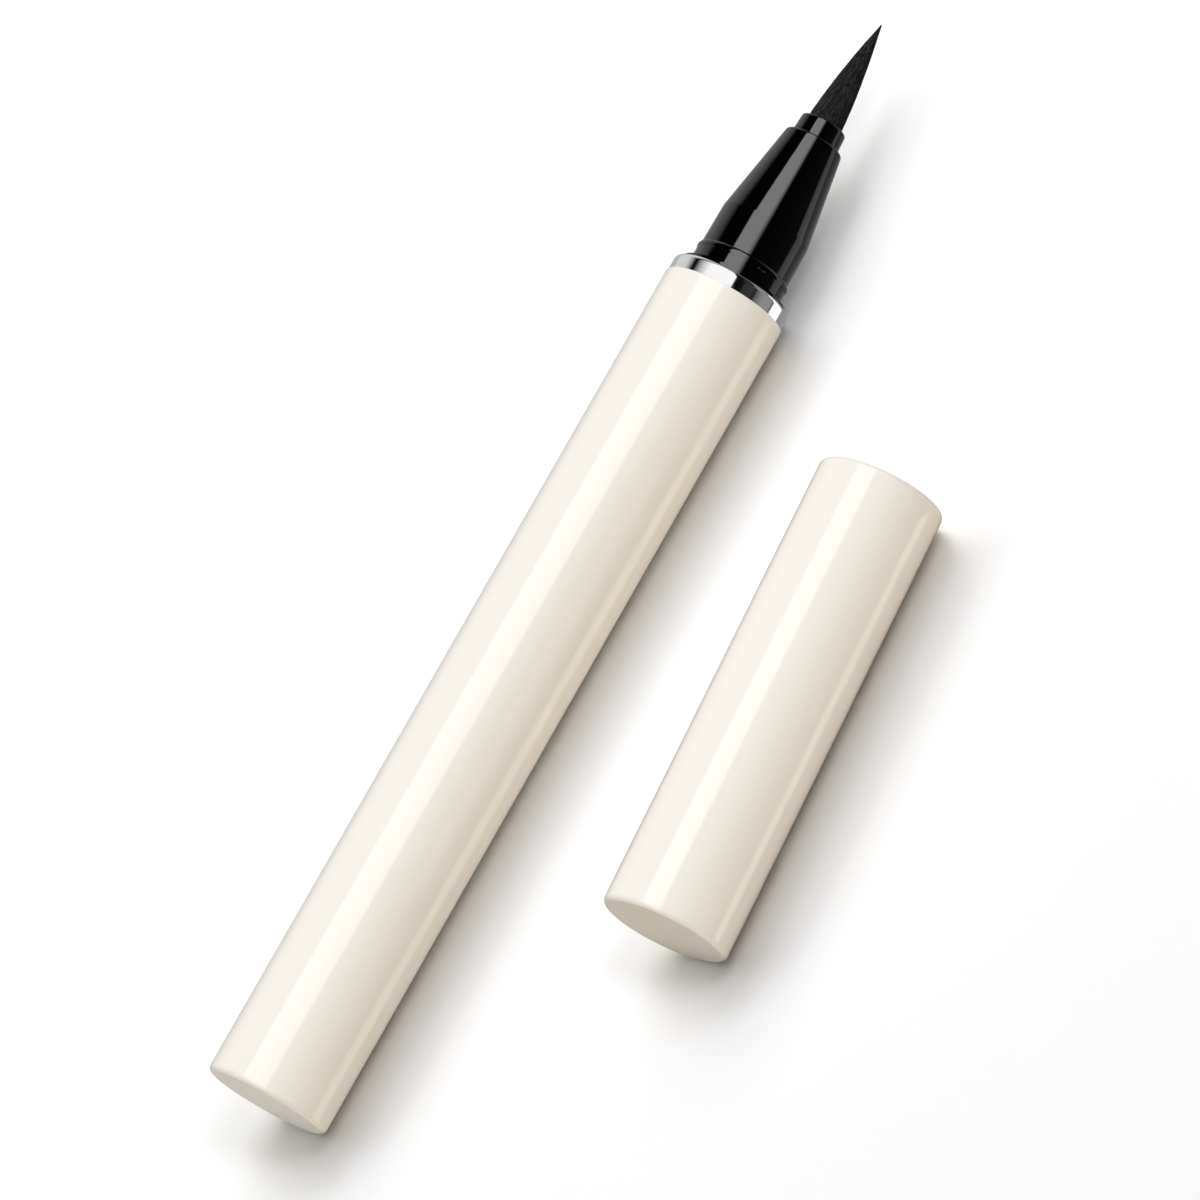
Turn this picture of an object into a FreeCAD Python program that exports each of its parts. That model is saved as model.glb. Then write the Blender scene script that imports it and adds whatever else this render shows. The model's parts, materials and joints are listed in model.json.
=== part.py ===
import FreeCAD, Part
import os
from collections import namedtuple

import Sketcher

# Liquid eyeliner pen lying on a surface with its cap taken off beside it.
# The pen's axis runs along X towards the brush tip, and +Z is up.

# Driving dimensions, in millimetres, degrees and counts
DIMENSIONS = {
    # Barrel, trim ring and nose
    "barrel_diameter": 11.0,
    "barrel_length": 78.0,
    "barrel_wall": 0.95,
    "tail_thickness": 1.6,
    "tail_rounding": 0.5,
    "mouth_rounding": 0.12,
    "ring_length": 1.45,
    "ring_step": 0.1,
    "ring_rounding": 0.38,
    "flange_step": 0.55,
    "flange_thickness": 0.3,
    "neck_step": 1.28,
    "bead_place": 1.8,
    "bead_length": 0.66,
    "bead_bulge": 0.13,
    "bead_drop": 0.11,
    "nose_taper": 0.06,
    "kink_place": 5.8,
    "nose_length": 14.42,
    "nose_front_wall": 0.47,
    "nose_rounding": 0.3,
    # Collar and brush nib
    "collar_wall": 0.59,
    "collar_taper": 0.1,
    "collar_length": 1.75,
    "collar_rounding": 0.25,
    "nib_diameter": 3.13,
    "nib_length": 10.1,
    "nib_bulge": 0.165,
    "nib_tip_diameter": 0.12,
    "nib_tail_length": 6.4,
    # Clearances: pressed, freely slipped in, and round the wick
    "press_clearance": 0.02,
    "slip_clearance": 0.15,
    "wick_clearance": 0.05,
    # Ink system inside the barrel
    "spigot_length": 21.0,
    "spigot_wall": 1.13,
    "spigot_chamfer": 0.4,
    "snap_place": 8.0,
    "snap_length": 1.6,
    "snap_height": 0.12,
    "tank_wall": 0.55,
    "tank_floor": 1.0,
    "tank_rounding": 0.4,
    "plug_length": 5.0,
    "plug_flange": 1.0,
    "plug_rib": 0.8,
    "plug_relief": 0.2,
    "collector_core_diameter": 3.2,
    "collector_tail_length": 3.0,
    "collector_disc": 1.2,
    "collector_clearance": 0.1,
    "fin_count": 14,
    "fin_thickness": 0.4,
    "air_slot_width": 0.7,
    "ink_slot_width": 0.3,
    "holder_seat": 5.2,
    "holder_flange": 1.0,
    "wick_diameter": 1.6,
    "wick_tip_diameter": 0.8,
    "wick_reach": 4.0,
    "wick_tip_length": 2.0,
    "ball_diameter": 4.0,
    # Cap and its sprung seal
    "cap_length": 41.0,
    "cap_end_thickness": 1.5,
    "cap_end_rounding": 0.5,
    "cap_lip_rounding": 0.33,
    "liner_inset": 0.15,
    "liner_wall": 0.35,
    "liner_clearance": 0.07,
    "catch_lead": 0.22,
    "catch_length": 0.8,
    "catch_clearance": 0.03,
    "seal_place": 8.5,
    "seal_travel": 1.4,
    "seal_rest_gap": 0.05,
    "seal_draft": 0.15,
    "seal_wall": 0.6,
    "seal_end": 0.8,
    "nib_room": 1.9,
    "seal_flange_length": 2.0,
    "seal_guide_length": 1.2,
    "boss_height": 1.0,
    "spring_wire": 0.4,
    "spring_turns": 6,
    # Where the cap lies: its middle from the tail, from the pen's axis, and its turn
    "cap_along": 45.4,
    "cap_across": 29.5,
    "cap_turn": 4.351,
}

# Radii along the pen, then stations from the tail, then the cap's own, from the cap's closed end
DERIVED = {
    "barrel_r": "dims.barrel_diameter / 2",
    "barrel_bore_r": "places.barrel_r - dims.barrel_wall",
    "ring_r": "places.barrel_r - dims.ring_step",
    "flange_r": "places.ring_r - dims.flange_step",
    "neck_r": "places.barrel_r - dims.neck_step",
    "nose_back_r": "places.neck_r - dims.bead_drop",
    "kink_r": "places.nose_back_r - dims.nose_taper",
    "nib_r": "dims.nib_diameter / 2",
    "socket_r": "places.nib_r + dims.press_clearance",
    "collar_r": "places.nib_r + dims.collar_wall",
    "collar_front_r": "places.collar_r - dims.collar_taper",
    "holder_bore_r": "places.collar_r + dims.press_clearance",
    "nose_front_r": "places.collar_r + dims.nose_front_wall",
    "spigot_r": "places.barrel_bore_r - dims.press_clearance",
    "spigot_bore_r": "places.spigot_r - dims.spigot_wall",
    "ring_bore_r": "places.spigot_r + dims.press_clearance",
    "fin_r": "places.spigot_bore_r - dims.collector_clearance",
    "core_r": "dims.collector_core_diameter / 2",
    "tank_r": "places.barrel_bore_r - dims.slip_clearance",
    "tank_bore_r": "places.tank_r - dims.tank_wall",
    "plug_r": "places.tank_bore_r - dims.press_clearance",
    "plug_pocket_r": "places.core_r + dims.press_clearance",
    "wick_r": "dims.wick_diameter / 2",
    "wick_bore_r": "places.wick_r + dims.wick_clearance",
    "wick_tip_r": "dims.wick_tip_diameter / 2",
    "ball_r": "dims.ball_diameter / 2",
    "tank_x": "dims.tail_thickness",
    "stack_x": "dims.barrel_length - dims.spigot_length",
    "tank_mouth_x": "places.stack_x - dims.plug_flange",
    "plug_x": "places.tank_mouth_x - dims.plug_length",
    "snap_x": "dims.barrel_length - dims.snap_place",
    "ring_front_x": "dims.barrel_length + dims.ring_length",
    "flange_front_x": "places.ring_front_x + dims.flange_thickness",
    "bead_x": "places.ring_front_x + dims.bead_place",
    "kink_x": "places.ring_front_x + dims.kink_place",
    "nose_front_x": "places.ring_front_x + dims.nose_length",
    "holder_seat_x": "places.ring_front_x + dims.holder_seat",
    "collector_front_x": "places.holder_seat_x - dims.holder_flange",
    "collar_front_x": "places.nose_front_x + dims.collar_length",
    "nib_tail_x": "places.collar_front_x - dims.nib_tail_length",
    "nib_tip_x": "places.collar_front_x + dims.nib_length",
    "wick_back_x": "places.plug_x - dims.wick_reach",
    "wick_front_x": "places.nib_tail_x + dims.wick_tip_length",
    "fin_span": "places.collector_front_x - places.stack_x - 2 * dims.collector_disc",
    "fin_gap": "(places.fin_span - dims.fin_count * dims.fin_thickness) / (dims.fin_count + 1)",
    "fin_pitch": "places.fin_gap + dims.fin_thickness",
    "fin_x": "places.stack_x + dims.collector_disc + places.fin_gap",
    "ball_x": "places.tank_x + dims.tank_floor + places.ball_r + dims.slip_clearance",
    "ball_drop": "places.tank_bore_r - places.ball_r - dims.slip_clearance",
    "bead_r": "(places.neck_r + places.nose_back_r) / 2 + dims.bead_bulge",
    "liner_bore_r": "places.bead_r + dims.liner_clearance",
    "liner_r": "places.liner_bore_r + dims.liner_wall",
    "cap_bore_r": "places.liner_r + dims.press_clearance",
    "catch_height": "places.liner_bore_r - places.neck_r - dims.catch_clearance",
    "cone_slope": "(places.kink_r - places.nose_front_r) / (dims.nose_length - dims.kink_place)",
    "seal_r": "places.kink_r - places.cone_slope * (dims.seal_place - dims.kink_place)",
    "seal_cavity_r": "places.seal_r - dims.seal_draft",
    "seal_body_r": "places.seal_r + dims.seal_wall",
    "seal_guide_r": "places.cap_bore_r - dims.slip_clearance",
    "spring_wire_r": "dims.spring_wire / 2",
    "spring_r": "places.seal_guide_r - dims.slip_clearance - places.spring_wire_r",
    "boss_r": "places.spring_r - places.spring_wire_r - dims.slip_clearance",
    "liner_mouth_x": "dims.cap_length - dims.liner_inset",
    "bead_depth": "dims.bead_place - dims.bead_length / 2 - dims.flange_thickness",
    "catch_x": "dims.cap_length - places.bead_depth + dims.catch_lead",
    "capped_seal_x": "dims.cap_length - dims.seal_place + dims.flange_thickness",
    "seal_front_x": "places.capped_seal_x + dims.seal_travel",
    "liner_end_x": "places.seal_front_x + dims.seal_rest_gap",
    "seal_reach": "places.nib_tip_x - places.ring_front_x - dims.seal_place + dims.nib_room",
    "seal_back_x": "places.seal_front_x - places.seal_reach - dims.seal_end",
    "spring_length": "places.seal_back_x - dims.cap_end_thickness - dims.spring_wire",
    "spring_pitch": "places.spring_length / dims.spring_turns",
    "cap_half": "dims.cap_length / 2",
    "cap_corner_x": "places.cap_half - dims.cap_end_rounding",
    "cap_corner_r": "places.barrel_r - dims.cap_end_rounding",
    "cap_reach_x": "places.cap_corner_x * sin(dims.cap_turn * 1deg)",
    "cap_reach_r": "places.cap_corner_r * cos(dims.cap_turn * 1deg)",
    "cap_reach": "places.cap_reach_x + places.cap_reach_r + dims.cap_end_rounding",
    "pen_x": "-places.nib_tip_x / 2",
    "pen_y": "(dims.cap_across + places.cap_reach - places.barrel_r) / 2",
    "cap_x": "places.pen_x + dims.cap_along - places.cap_half * cos(dims.cap_turn * 1deg)",
    "cap_y": "places.pen_y - dims.cap_across - places.cap_half * sin(dims.cap_turn * 1deg)",
}

SAME_PLACE = 1e-4
FULL_TURN = 360
WIRE_SIDES = 8
LINE_START = 1
LINE_END = 2
ORIGIN_POINT = (-1, 1)

# A point of an outline: place along the axis, radius, and how far the edge to
# the next point bulges to the left of the way there
Corner = namedtuple("Corner", ["x", "r", "bulge"], defaults=[None])

doc = FreeCAD.newDocument("eyeliner_pen")


def make_sheet():
    """Spreadsheet of the driving dimensions, one aliased cell each."""
    sheet = doc.addObject("Spreadsheet::Sheet", "dims")
    for row, (name, size) in enumerate(DIMENSIONS.items(), start=1):
        sheet.set(f"A{row}", name)
        sheet.set(f"B{row}", str(size))
        sheet.setAlias(f"B{row}", name)
    doc.recompute()
    return sheet


def make_places():
    """Radii and stations worked out from the sheet by expressions."""
    places = doc.addObject("App::VarSet", "places")
    for name, expression in DERIVED.items():
        places.addProperty("App::PropertyFloat", name, "Derived", expression)
        places.setExpression(name, expression)
        doc.recompute()
    return places


def value(expression):
    """Number that an expression stands for now."""
    return float(places.evalExpression(expression))


def new_body(label):
    """Empty body with the label that names its file."""
    body = doc.addObject("PartDesign::Body", label)
    body.Label = label
    return body


def new_sketch(body, name, role):
    """Sketch on one of the body's own origin planes."""
    plane = next(item for item in body.Origin.OriginFeatures if item.Role == role)
    sketch = body.newObject("Sketcher::SketchObject", f"{body.Name}_{name}")
    sketch.AttachmentSupport = [(plane, "")]
    sketch.MapMode = "FlatFace"
    return sketch


def bind(sketch, expression, kind, *where):
    """Dimension in a sketch, driven by an expression."""
    index = sketch.addConstraint(Sketcher.Constraint(kind, *where, value(expression)))
    sketch.setExpression(f"Constraints[{index}]", expression)


def bulged_edge(start, end, height):
    """Arc from start to end that bulges to the left by a height."""
    along = end - start
    left = FreeCAD.Vector(-along.y, along.x, 0).normalize()
    return Part.Arc(start, (start + end) / 2 + left * height, end)


def radius_of_bulge(here, there):
    """Expression for the radius of the arc between two corners."""
    chord = f"(({there.x} - ({here.x}))^2 + ({there.r} - ({here.r}))^2)"
    return f"({chord} / 4 + ({here.bulge})^2) / (2 * abs({here.bulge}))"


def draw_outline(body, name, corners, role="XY_Plane"):
    """Closed outline, in the plane of the axis or across it, with every corner tied to its expressions."""
    sketch = new_sketch(body, name, role)
    points = [FreeCAD.Vector(value(corner.x), value(corner.r), 0) for corner in corners]
    following = list(range(1, len(corners))) + [0]
    ends = []
    for index, corner in enumerate(corners):
        start = points[index]
        end = points[following[index]]
        if corner.bulge is None:
            sketch.addGeometry(Part.LineSegment(start, end), False)
            ends.append((LINE_START, LINE_END))
        else:
            height = value(corner.bulge)
            sketch.addGeometry(bulged_edge(start, end, height), False)
            ends.append((LINE_END, LINE_START) if height > 0 else (LINE_START, LINE_END))
    for index, after in enumerate(following):
        joined = (index, ends[index][1], after, ends[after][0])
        sketch.addConstraint(Sketcher.Constraint("Coincident", *joined))
    for index, corner in enumerate(corners):
        bind(sketch, corner.x, "DistanceX", *ORIGIN_POINT, index, ends[index][0])
        bind(sketch, corner.r, "DistanceY", *ORIGIN_POINT, index, ends[index][0])
        if corner.bulge is not None:
            bind(sketch, radius_of_bulge(corner, corners[following[index]]), "Radius", index)
    return sketch


def turn(body, name, corners):
    """Solid of revolution of an outline about the axis."""
    sketch = draw_outline(body, f"{name}_outline", corners)
    feature = body.newObject("PartDesign::Revolution", f"{body.Name}_{name}")
    feature.Profile = sketch
    feature.ReferenceAxis = (sketch, ["H_Axis"])
    feature.Angle = FULL_TURN
    doc.recompute()
    return feature


def circle_edges(shape, x, r):
    """Names of a shape's circular edges at a station and radius."""
    names = []
    for index, edge in enumerate(shape.Edges, start=1):
        if not isinstance(edge.Curve, Part.Circle):
            continue
        off_station = abs(edge.Curve.Center.x - value(x))
        off_radius = abs(edge.Curve.Radius - value(r))
        if max(off_station, off_radius) < SAME_PLACE:
            names.append(f"Edge{index}")
    return names


def dress_edge(body, kind, property_name, x, r, size):
    """Fillet or chamfer on the circular edge at a station and radius."""
    base = body.Tip
    feature = body.newObject(f"PartDesign::{kind}", f"{body.Name}_{kind.lower()}")
    feature.Base = (base, circle_edges(base.Shape, x, r))
    feature.setExpression(property_name, size)
    doc.recompute()


def round_edge(body, x, r, size):
    """Fillet on a circular edge."""
    dress_edge(body, "Fillet", "Radius", x, r, size)


def bevel_edge(body, x, r, size):
    """Chamfer on a circular edge."""
    dress_edge(body, "Chamfer", "Size", x, r, size)


def make_barrel():
    """Closed-tail tube with a snap groove inside its mouth."""
    body = new_body("barrel")
    corners = [
        Corner("0", "0"),
        Corner("0", "places.barrel_r"),
        Corner("dims.barrel_length", "places.barrel_r"),
        Corner("dims.barrel_length", "places.barrel_bore_r"),
        Corner("places.snap_x + dims.snap_length / 2", "places.barrel_bore_r", "-dims.snap_height"),
        Corner("places.snap_x - dims.snap_length / 2", "places.barrel_bore_r"),
        Corner("dims.tail_thickness", "places.barrel_bore_r"),
        Corner("dims.tail_thickness", "0"),
    ]
    turn(body, "tube", corners)
    round_edge(body, "0", "places.barrel_r", "dims.tail_rounding")
    round_edge(body, "dims.barrel_length", "places.barrel_r", "dims.mouth_rounding")
    return body


def make_trim_ring():
    """Plated ring between the barrel's mouth and the nose."""
    body = new_body("trim_ring")
    corners = [
        Corner("dims.barrel_length", "places.ring_bore_r"),
        Corner("dims.barrel_length", "places.ring_r"),
        Corner("places.ring_front_x", "places.ring_r"),
        Corner("places.ring_front_x", "places.ring_bore_r"),
    ]
    turn(body, "band", corners)
    round_edge(body, "places.ring_front_x", "places.ring_r", "dims.ring_rounding")
    return body


def make_front_section():
    """Nose with a flange, a snap bead for the cap and a long spigot inside the barrel."""
    body = new_body("front_section")
    corners = [
        Corner("places.stack_x", "places.spigot_bore_r"),
        Corner("places.stack_x", "places.spigot_r"),
        Corner("places.snap_x - dims.snap_length / 2", "places.spigot_r", "dims.snap_height"),
        Corner("places.snap_x + dims.snap_length / 2", "places.spigot_r"),
        Corner("places.ring_front_x", "places.spigot_r"),
        Corner("places.ring_front_x", "places.flange_r"),
        Corner("places.flange_front_x", "places.flange_r"),
        Corner("places.flange_front_x", "places.neck_r"),
        Corner("places.bead_x - dims.bead_length / 2", "places.neck_r", "dims.bead_bulge"),
        Corner("places.bead_x + dims.bead_length / 2", "places.nose_back_r"),
        Corner("places.kink_x", "places.kink_r"),
        Corner("places.nose_front_x", "places.nose_front_r"),
        Corner("places.nose_front_x", "places.holder_bore_r"),
        Corner("places.holder_seat_x", "places.holder_bore_r"),
        Corner("places.holder_seat_x", "places.spigot_bore_r"),
    ]
    turn(body, "nose", corners)
    round_edge(body, "places.nose_front_x", "places.nose_front_r", "dims.nose_rounding")
    bevel_edge(body, "places.stack_x", "places.spigot_r", "dims.spigot_chamfer")
    return body


def make_ink_tank():
    """Ink cartridge that stands on the barrel's floor."""
    body = new_body("ink_tank")
    corners = [
        Corner("places.tank_x", "0"),
        Corner("places.tank_x", "places.tank_r"),
        Corner("places.tank_mouth_x", "places.tank_r"),
        Corner("places.tank_mouth_x", "places.tank_bore_r"),
        Corner("places.tank_x + dims.tank_floor", "places.tank_bore_r"),
        Corner("places.tank_x + dims.tank_floor", "0"),
    ]
    turn(body, "cup", corners)
    round_edge(body, "places.tank_x", "places.tank_r", "dims.tank_rounding")
    return body


def make_tank_plug():
    """Stopper of the tank, with two sealing ribs and a hole for the wick."""
    body = new_body("tank_plug")
    pocket_x = "places.stack_x - dims.collector_tail_length"
    groove_r = "places.plug_r - dims.plug_relief"
    corners = [
        Corner("places.plug_x", "places.wick_bore_r"),
        Corner("places.plug_x", "places.plug_r"),
        Corner("places.plug_x + dims.plug_rib", "places.plug_r"),
        Corner("places.plug_x + dims.plug_rib", groove_r),
        Corner("places.tank_mouth_x - dims.plug_rib", groove_r),
        Corner("places.tank_mouth_x - dims.plug_rib", "places.plug_r"),
        Corner("places.tank_mouth_x", "places.plug_r"),
        Corner("places.tank_mouth_x", "places.tank_r"),
        Corner("places.stack_x", "places.tank_r"),
        Corner("places.stack_x", "places.plug_pocket_r"),
        Corner(pocket_x, "places.plug_pocket_r"),
        Corner(pocket_x, "places.wick_bore_r"),
    ]
    turn(body, "stopper", corners)
    return body


def cut_slot(body, name, width, side):
    """Slot along the comb fins, down to the core, on the +Y or the -Y side."""
    inner = f"{side} * places.core_r"
    outer = f"{side} * places.spigot_bore_r"
    corners = [
        Corner(inner, f"-{width} / 2"),
        Corner(outer, f"-{width} / 2"),
        Corner(outer, f"{width} / 2"),
        Corner(inner, f"{width} / 2"),
    ]
    pocket = body.newObject("PartDesign::Pocket", f"{body.Name}_{name}")
    pocket.Profile = draw_outline(body, f"{name}_outline", corners, "YZ_Plane")
    pocket.Reversed = True
    pocket.setExpression("Length", "places.collector_front_x")
    doc.recompute()


def make_ink_collector():
    """Comb of thin fins round a core, which takes up ink when the tank warms."""
    body = new_body("ink_collector")
    tail_x = "places.stack_x - dims.collector_tail_length + dims.wick_clearance"
    core_back_x = "places.stack_x + dims.collector_disc"
    core_front_x = "places.collector_front_x - dims.collector_disc"
    corners = [
        Corner(tail_x, "places.wick_bore_r"),
        Corner(tail_x, "places.core_r"),
        Corner("places.stack_x", "places.core_r"),
        Corner("places.stack_x", "places.fin_r"),
        Corner(core_back_x, "places.fin_r"),
        Corner(core_back_x, "places.core_r"),
        Corner(core_front_x, "places.core_r"),
        Corner(core_front_x, "places.fin_r"),
        Corner("places.collector_front_x", "places.fin_r"),
        Corner("places.collector_front_x", "places.wick_bore_r"),
    ]
    turn(body, "core", corners)
    root_r = "(places.core_r + places.wick_bore_r) / 2"
    fin_corners = [
        Corner("places.fin_x", root_r),
        Corner("places.fin_x", "places.fin_r"),
        Corner("places.fin_x + dims.fin_thickness", "places.fin_r"),
        Corner("places.fin_x + dims.fin_thickness", root_r),
    ]
    fin = turn(body, "fin", fin_corners)
    comb = body.newObject("PartDesign::LinearPattern", "ink_collector_comb")
    comb.Originals = [fin]
    comb.Direction = (fin.Profile[0], ["H_Axis"])
    comb.setExpression("Length", "places.fin_pitch * (dims.fin_count - 1)")
    comb.setExpression("Occurrences", "dims.fin_count")
    body.Tip = comb
    doc.recompute()
    cut_slot(body, "air_slot", "dims.air_slot_width", 1)
    cut_slot(body, "ink_slot", "dims.ink_slot_width", -1)
    return body


def make_feed_wick():
    """Fibre rod that leads ink from the tank into the back of the nib."""
    body = new_body("feed_wick")
    corners = [
        Corner("places.wick_back_x", "0"),
        Corner("places.wick_back_x", "places.wick_r"),
        Corner("places.nib_tail_x", "places.wick_r"),
        Corner("places.wick_front_x", "places.wick_tip_r"),
        Corner("places.wick_front_x", "0"),
    ]
    turn(body, "rod", corners)
    return body


def make_nib_holder():
    """Collar that grips the nib, held by its flange behind the nose's step."""
    body = new_body("nib_holder")
    corners = [
        Corner("places.collector_front_x", "places.wick_bore_r"),
        Corner("places.collector_front_x", "places.fin_r"),
        Corner("places.holder_seat_x", "places.fin_r"),
        Corner("places.holder_seat_x", "places.collar_r"),
        Corner("places.nose_front_x", "places.collar_r"),
        Corner("places.collar_front_x", "places.collar_front_r"),
        Corner("places.collar_front_x", "places.socket_r"),
        Corner("places.nib_tail_x", "places.socket_r"),
        Corner("places.nib_tail_x", "places.wick_bore_r"),
    ]
    turn(body, "collar", corners)
    round_edge(body, "places.collar_front_x", "places.collar_front_r", "dims.collar_rounding")
    return body


def make_brush_nib():
    """Pointed bundle of bristles, with a socket for the wick in its tail."""
    body = new_body("brush_nib")
    socket_x = "places.wick_front_x + dims.wick_clearance"
    corners = [
        Corner("places.nib_tail_x", "places.wick_bore_r"),
        Corner("places.nib_tail_x", "places.nib_r"),
        Corner("places.collar_front_x", "places.nib_r", "dims.nib_bulge"),
        Corner("places.nib_tip_x", "dims.nib_tip_diameter / 2"),
        Corner("places.nib_tip_x", "0"),
        Corner(socket_x, "0"),
        Corner(socket_x, "places.wick_tip_r + dims.wick_clearance"),
    ]
    turn(body, "bundle", corners)
    return body


def make_mixing_ball():
    """Steel ball that stirs the ink when the pen is shaken."""
    ball = doc.addObject("Part::Sphere", "mixing_ball")
    ball.Label = "mixing_ball"
    ball.setExpression("Radius", "places.ball_r")
    return ball


def make_cap_shell():
    """Outer cap with a closed end and a boss that centres the spring."""
    body = new_body("cap_shell")
    boss_x = "dims.cap_end_thickness + dims.boss_height"
    corners = [
        Corner("0", "0"),
        Corner("0", "places.barrel_r"),
        Corner("dims.cap_length", "places.barrel_r"),
        Corner("dims.cap_length", "places.cap_bore_r"),
        Corner("dims.cap_end_thickness", "places.cap_bore_r"),
        Corner("dims.cap_end_thickness", "places.boss_r"),
        Corner(boss_x, "places.boss_r"),
        Corner(boss_x, "0"),
    ]
    turn(body, "shell", corners)
    round_edge(body, "0", "places.barrel_r", "dims.cap_end_rounding")
    round_edge(body, "dims.cap_length", "places.barrel_r", "dims.cap_lip_rounding")
    return body


def make_cap_liner():
    """Sleeve in the cap's mouth, with a rib that clicks behind the nose's bead."""
    body = new_body("cap_liner")
    corners = [
        Corner("places.liner_end_x", "places.liner_bore_r"),
        Corner("places.liner_end_x", "places.liner_r"),
        Corner("places.liner_mouth_x", "places.liner_r"),
        Corner("places.liner_mouth_x", "places.liner_bore_r"),
        Corner("places.catch_x + dims.catch_length / 2", "places.liner_bore_r", "places.catch_height"),
        Corner("places.catch_x - dims.catch_length / 2", "places.liner_bore_r"),
    ]
    turn(body, "sleeve", corners)
    return body


def make_inner_cap():
    """Sprung cup inside the cap that seals on the nose and keeps the nib wet."""
    body = new_body("inner_cap")
    flange_x = "places.seal_front_x - dims.seal_flange_length"
    guide_x = "places.seal_back_x + dims.seal_guide_length"
    floor_x = "places.seal_back_x + dims.seal_end"
    boss_x = "places.seal_back_x - dims.boss_height"
    corners = [
        Corner(boss_x, "0"),
        Corner(boss_x, "places.boss_r"),
        Corner("places.seal_back_x", "places.boss_r"),
        Corner("places.seal_back_x", "places.seal_guide_r"),
        Corner(guide_x, "places.seal_guide_r"),
        Corner(guide_x, "places.seal_body_r"),
        Corner(flange_x, "places.seal_body_r"),
        Corner(flange_x, "places.seal_guide_r"),
        Corner("places.seal_front_x", "places.seal_guide_r"),
        Corner("places.seal_front_x", "places.seal_r"),
        Corner(floor_x, "places.seal_cavity_r"),
        Corner(floor_x, "0"),
    ]
    turn(body, "cup", corners)
    return body


def make_cap_spring():
    """Coil spring between the cap's closed end and the sprung cup, of wire drawn with narrow flats."""
    body = new_body("cap_spring")
    middle_x = "dims.cap_end_thickness + places.spring_wire_r"
    corners = []
    for side in range(WIRE_SIDES):
        angle = -side * FULL_TURN / WIRE_SIDES
        off_x = f"places.spring_wire_r * cos({angle}deg)"
        off_r = f"places.spring_wire_r * sin({angle}deg)"
        corners.append(Corner(f"{middle_x} + {off_x}", f"places.spring_r + {off_r}"))
    sketch = draw_outline(body, "wire", corners)
    coil = body.newObject("PartDesign::AdditiveHelix", "cap_spring_coil")
    coil.Profile = sketch
    coil.ReferenceAxis = (sketch, ["H_Axis"])
    coil.setExpression("Pitch", "places.spring_pitch")
    coil.setExpression("Height", "places.spring_length")
    doc.recompute()
    return body


def lay(piece, x, y, z):
    """Place of a piece's own origin in the frame of the whole object."""
    piece.setExpression("Placement.Base.x", x)
    piece.setExpression("Placement.Base.y", y)
    piece.setExpression("Placement.Base.z", z)


def check_document(pieces):
    """Stop if a feature failed or a piece isn't one sound solid."""
    for item in doc.Objects:
        if "Invalid" in item.State or "Error" in item.State:
            raise RuntimeError(f"{item.Label} failed: {item.State}")
    for piece in pieces:
        if piece.Shape.isNull() or not piece.Shape.isValid() or len(piece.Shape.Solids) != 1:
            raise RuntimeError(f"{piece.Label} isn't one valid solid")


make_sheet()
places = make_places()
pen_pieces = [
    make_barrel(),
    make_trim_ring(),
    make_front_section(),
    make_ink_tank(),
    make_tank_plug(),
    make_ink_collector(),
    make_feed_wick(),
    make_nib_holder(),
    make_brush_nib(),
]
cap_pieces = [
    make_cap_shell(),
    make_cap_liner(),
    make_inner_cap(),
    make_cap_spring(),
]
mixing_ball = make_mixing_ball()

for piece in pen_pieces:
    lay(piece, "places.pen_x", "places.pen_y", "places.barrel_r")
for piece in cap_pieces:
    lay(piece, "places.cap_x", "places.cap_y", "places.barrel_r")
    piece.setExpression("Placement.Rotation.Angle", "dims.cap_turn * 1deg")
lay(mixing_ball, "places.pen_x + places.ball_x", "places.pen_y", "places.barrel_r - places.ball_drop")
doc.recompute()

all_pieces = pen_pieces + cap_pieces + [mixing_ball]
check_document(all_pieces)
os.makedirs("parts", exist_ok=True)
for piece in all_pieces:
    piece.Shape.exportStep(f"parts/{piece.Label}.step")
    print(f"{piece.Label}: {piece.Shape.Volume:.2f} mm3")
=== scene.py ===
"""Liquid eyeliner pen lying beside its cap: finishes, brush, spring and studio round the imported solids."""

import json
import logging
import math
from dataclasses import dataclass, field
from enum import Enum
from typing import Any, Protocol, Self

import bpy
from mathutils import Matrix, Vector

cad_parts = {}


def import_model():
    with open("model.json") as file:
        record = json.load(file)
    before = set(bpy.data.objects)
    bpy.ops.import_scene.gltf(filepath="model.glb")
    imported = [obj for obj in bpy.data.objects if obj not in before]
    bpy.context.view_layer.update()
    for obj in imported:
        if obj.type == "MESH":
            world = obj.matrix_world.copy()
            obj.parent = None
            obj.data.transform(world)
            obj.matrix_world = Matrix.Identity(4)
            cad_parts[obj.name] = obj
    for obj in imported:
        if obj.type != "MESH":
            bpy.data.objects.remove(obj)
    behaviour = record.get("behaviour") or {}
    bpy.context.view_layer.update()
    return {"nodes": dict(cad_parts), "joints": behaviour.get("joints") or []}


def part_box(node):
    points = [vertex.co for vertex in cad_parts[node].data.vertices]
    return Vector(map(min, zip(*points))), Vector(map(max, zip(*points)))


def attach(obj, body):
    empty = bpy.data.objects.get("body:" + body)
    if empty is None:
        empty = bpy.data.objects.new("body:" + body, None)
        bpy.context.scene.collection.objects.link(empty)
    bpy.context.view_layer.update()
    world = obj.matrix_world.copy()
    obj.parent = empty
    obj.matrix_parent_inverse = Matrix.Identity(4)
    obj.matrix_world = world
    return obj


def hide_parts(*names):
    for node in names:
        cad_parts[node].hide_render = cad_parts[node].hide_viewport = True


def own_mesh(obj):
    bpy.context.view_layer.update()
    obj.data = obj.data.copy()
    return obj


frame: dict[str, Any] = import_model()

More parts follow.
